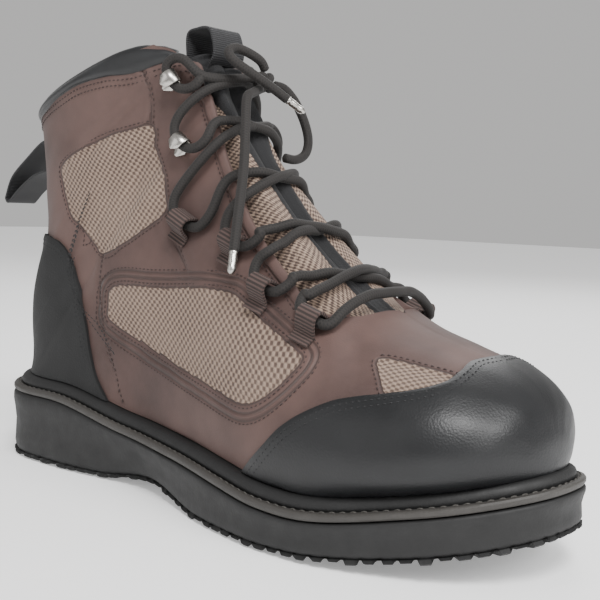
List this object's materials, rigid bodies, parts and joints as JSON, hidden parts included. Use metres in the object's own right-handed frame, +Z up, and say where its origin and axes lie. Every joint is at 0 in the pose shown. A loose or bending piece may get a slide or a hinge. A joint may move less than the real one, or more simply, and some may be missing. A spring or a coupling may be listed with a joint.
{
  "type": "wading boot",
  "caption": "Lace-up wading boot with a lugged rubber sole, toe cap, heel counter, padded collar, tongue, webbing lace loops, metal lace hooks and pull loops.",
  "frame": {"origin": "on the floor under the middle of the boot's box, laces' free parts left out", "axes": "+X from heel to toe, +Y to the medial side, +Z up"},
  "size_m": [0.3543, 0.1227, 0.216],
  "materials": {
    "sole_rubber": "matt moulded black rubber",
    "welt_rubber": "matt grey-brown rubber strip",
    "brown_nubuck": "mauve-brown nubuck",
    "black_overlay": "black coated leather, soft sheen",
    "black_cuff": "black satin padded lining",
    "tan_mesh": "tan woven mesh",
    "footbed_foam": "dark cloth-covered foam",
    "brown_webbing": "woven brown webbing",
    "black_webbing": "woven black webbing",
    "lace_cord": "round braided dark lace",
    "bright_metal": "bright plated metal"
  },
  "bodies": {
    "root": {"outsole": "sole_rubber", "welt": "welt_rubber", "upper": "brown_nubuck", "throat_binding_lateral": "brown_nubuck", "throat_binding_medial": "brown_nubuck", "toe_cap": "black_overlay", "heel_counter": "black_overlay", "collar": "black_cuff", "tongue": "tan_mesh", "insole": "footbed_foam", "lace_loop_lateral_1": "brown_webbing", "lace_loop_lateral_2": "brown_webbing", "lace_loop_lateral_3": "brown_webbing", "lace_loop_lateral_4": "brown_webbing", "lace_loop_medial_1": "brown_webbing", "lace_loop_medial_2": "brown_webbing", "lace_loop_medial_3": "brown_webbing", "lace_loop_medial_4": "brown_webbing", "heel_pull_loop": "black_webbing", "tongue_pull_loop": "black_webbing", "lace_rows": "lace_cord", "lace_knot": "lace_cord", "lace_end_a": "lace_cord", "lace_end_b": "lace_cord", "lace_loop": "lace_cord", "lace_hook_lateral_5": "bright_metal", "lace_hook_lateral_6": "bright_metal", "lace_hook_medial_5": "bright_metal", "lace_hook_medial_6": "bright_metal", "aglet_a": "bright_metal", "aglet_b": "bright_metal"}
  },
  "joints": []
}
